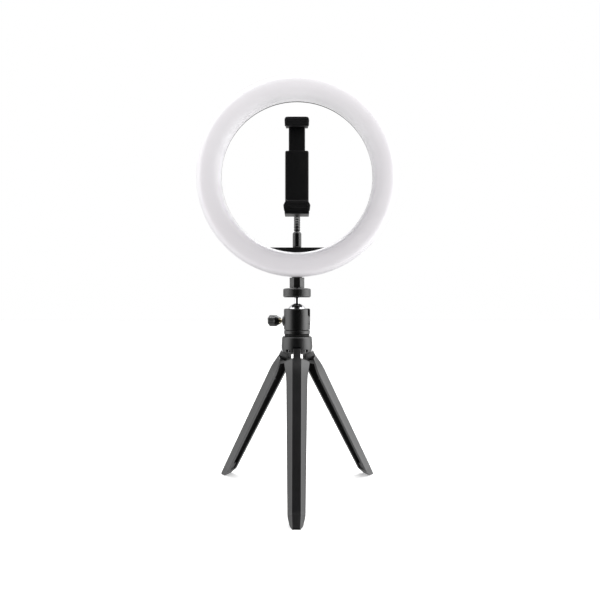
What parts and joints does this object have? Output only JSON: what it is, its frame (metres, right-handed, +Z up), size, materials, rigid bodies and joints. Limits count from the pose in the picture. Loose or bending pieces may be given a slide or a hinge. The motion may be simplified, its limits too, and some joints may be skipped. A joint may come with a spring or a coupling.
{
  "type": "ring light",
  "caption": "Small ring light with an opal front on a folding mini tripod, with a ball head, a lock knob and a bendable phone holder inside the ring.",
  "frame": {"origin": "middle of the footprint of the whole object, on the floor", "axes": "+Z up, -Y out of the front of the ring, +X to the right seen from the front"},
  "size_m": [0.1996, 0.143, 0.4111],
  "materials": {
    "black_plastic": "satin black moulded plastic",
    "opal_diffuser": "opal white, softly glossy, translucent",
    "white_plastic": "matt white",
    "black_metal": "satin black anodised",
    "chrome": "polished chrome",
    "steel": "plated steel",
    "brass": "machined brass",
    "rubber": "matt black rubber",
    "lead_insulation": "red wire insulation"
  },
  "bodies": {
    "tripod": {"crown": "black_plastic", "crown_washer": "rubber", "crown_bolt": "steel", "head_base": "black_metal", "retaining_ring": "steel", "front_hinge_pin": "steel", "right_hinge_pin": "steel", "left_hinge_pin": "steel"},
    "front_leg": {"front_leg": "black_plastic", "front_foot": "rubber"},
    "right_leg": {"right_leg": "black_plastic", "right_foot": "rubber"},
    "left_leg": {"left_leg": "black_plastic", "left_foot": "rubber"},
    "head": {"head_housing": "black_metal", "ball_seat": "white_plastic", "grub_screw": "steel"},
    "lock": {"lock_screw": "brass", "lock_knob": "black_plastic"},
    "ball": {"ball_stem": "chrome"},
    "lamp": {"platform_disc": "black_metal", "platform_pad": "rubber", "mount_screw": "steel", "neck": "black_plastic", "neck_insert": "brass", "neck_screw_1": "steel", "neck_screw_2": "steel", "rear_housing": "black_plastic", "front_diffuser": "opal_diffuser", "led_board": "white_plastic", "lead_wire": "lead_insulation", "cable_gland": "rubber", "holder_insert": "brass", "holder_sleeve": "black_metal", "housing_screw_1": "steel", "housing_screw_2": "steel", "housing_screw_3": "steel", "housing_screw_4": "steel", "housing_screw_5": "steel", "housing_screw_6": "steel"},
    "gooseneck_1": {"gooseneck_1": "black_metal"},
    "gooseneck_2": {"gooseneck_2": "black_metal"},
    "gooseneck_3": {"gooseneck_3": "black_metal"},
    "gooseneck_4": {"gooseneck_4": "black_metal"},
    "gooseneck_5": {"gooseneck_5": "black_metal"},
    "gooseneck_6": {"gooseneck_6": "black_metal", "ball_stud": "steel"},
    "clamp_nut": {"clamp_nut": "black_plastic"},
    "clamp": {"clamp_body": "black_plastic", "lower_jaw_pad": "rubber", "jaw_spring": "steel", "spring_pin": "steel"},
    "jaw": {"sliding_jaw": "black_plastic", "upper_jaw_pad": "rubber"}
  },
  "joints": [
    {"name": "front_leg_fold", "type": "hinge", "parent": "tripod", "child": "front_leg", "pos_m": [0, 0.00986, 0.1386], "axis": [1, 0, 0], "range_deg": [0, 28.5]},
    {"name": "right_leg_fold", "type": "hinge", "parent": "tripod", "child": "right_leg", "pos_m": [0.01039, 0.02786, 0.1386], "axis": [-0.5, 0.866, 0], "range_deg": [0, 28.5]},
    {"name": "left_leg_fold", "type": "hinge", "parent": "tripod", "child": "left_leg", "pos_m": [-0.01039, 0.02786, 0.1386], "axis": [-0.5, -0.866, 0], "range_deg": [0, 28.5]},
    {"name": "head_pan", "type": "hinge", "parent": "tripod", "child": "head", "pos_m": [0, 0.02186, 0.1586], "axis": [0, 0, 1], "continuous": true},
    {"name": "lock_knob_turn", "type": "hinge", "parent": "head", "child": "lock", "pos_m": [-0.01597, 0.02767, 0.1676], "axis": [-0.9397, 0.342, 0], "range_deg": [0, 270]},
    {"name": "ball_tilt", "type": "hinge", "parent": "head", "child": "ball", "pos_m": [0, 0.02186, 0.1754], "axis": [0.342, 0.9397, 0], "range_deg": [-38, 90]},
    {"name": "ball_spin", "type": "hinge", "parent": "ball", "child": "lamp", "pos_m": [0, 0.02186, 0.1754], "axis": [0, 0, 1], "continuous": true},
    {"name": "gooseneck_bend_1", "type": "hinge", "parent": "lamp", "child": "gooseneck_1", "pos_m": [0, 0.02781, 0.2578], "axis": [1, 0, 0], "range_deg": [-4, 4]},
    {"name": "gooseneck_bend_2", "type": "hinge", "parent": "gooseneck_1", "child": "gooseneck_2", "pos_m": [0, 0.03131, 0.26847], "axis": [1, 0, 0], "range_deg": [-4, 4]},
    {"name": "gooseneck_bend_3", "type": "hinge", "parent": "gooseneck_2", "child": "gooseneck_3", "pos_m": [0, 0.03863, 0.27725], "axis": [1, 0, 0], "range_deg": [-4, 4]},
    {"name": "gooseneck_bend_4", "type": "hinge", "parent": "gooseneck_3", "child": "gooseneck_4", "pos_m": [0, 0.04597, 0.286], "axis": [1, 0, 0], "range_deg": [-4, 4]},
    {"name": "gooseneck_bend_5", "type": "hinge", "parent": "gooseneck_4", "child": "gooseneck_5", "pos_m": [0, 0.05083, 0.29606], "axis": [1, 0, 0], "range_deg": [-4, 4]},
    {"name": "gooseneck_bend_6", "type": "hinge", "parent": "gooseneck_5", "child": "gooseneck_6", "pos_m": [0, 0.04705, 0.30651], "axis": [1, 0, 0], "range_deg": [-4, 4]},
    {"name": "clamp_tilt", "type": "hinge", "parent": "gooseneck_6", "child": "clamp_nut", "pos_m": [0, 0.02236, 0.31092], "axis": [-1, 0, 0], "range_deg": [-8, 22]},
    {"name": "clamp_turn", "type": "hinge", "parent": "clamp_nut", "child": "clamp", "pos_m": [0, 0.02236, 0.31092], "axis": [0, 1, 0], "continuous": true},
    {"name": "jaw_slide", "type": "slide", "parent": "clamp", "child": "jaw", "axis": [0, 0, 1], "range_m": [-0.02, 0.01], "deforming": ["jaw_spring"]}
  ],
  "couplings": [
    {"joint": "gooseneck_bend_2", "follows": "gooseneck_bend_1", "ratio": 1},
    {"joint": "gooseneck_bend_3", "follows": "gooseneck_bend_1", "ratio": 1},
    {"joint": "gooseneck_bend_4", "follows": "gooseneck_bend_1", "ratio": 1},
    {"joint": "gooseneck_bend_5", "follows": "gooseneck_bend_1", "ratio": 1},
    {"joint": "gooseneck_bend_6", "follows": "gooseneck_bend_1", "ratio": 1}
  ]
}
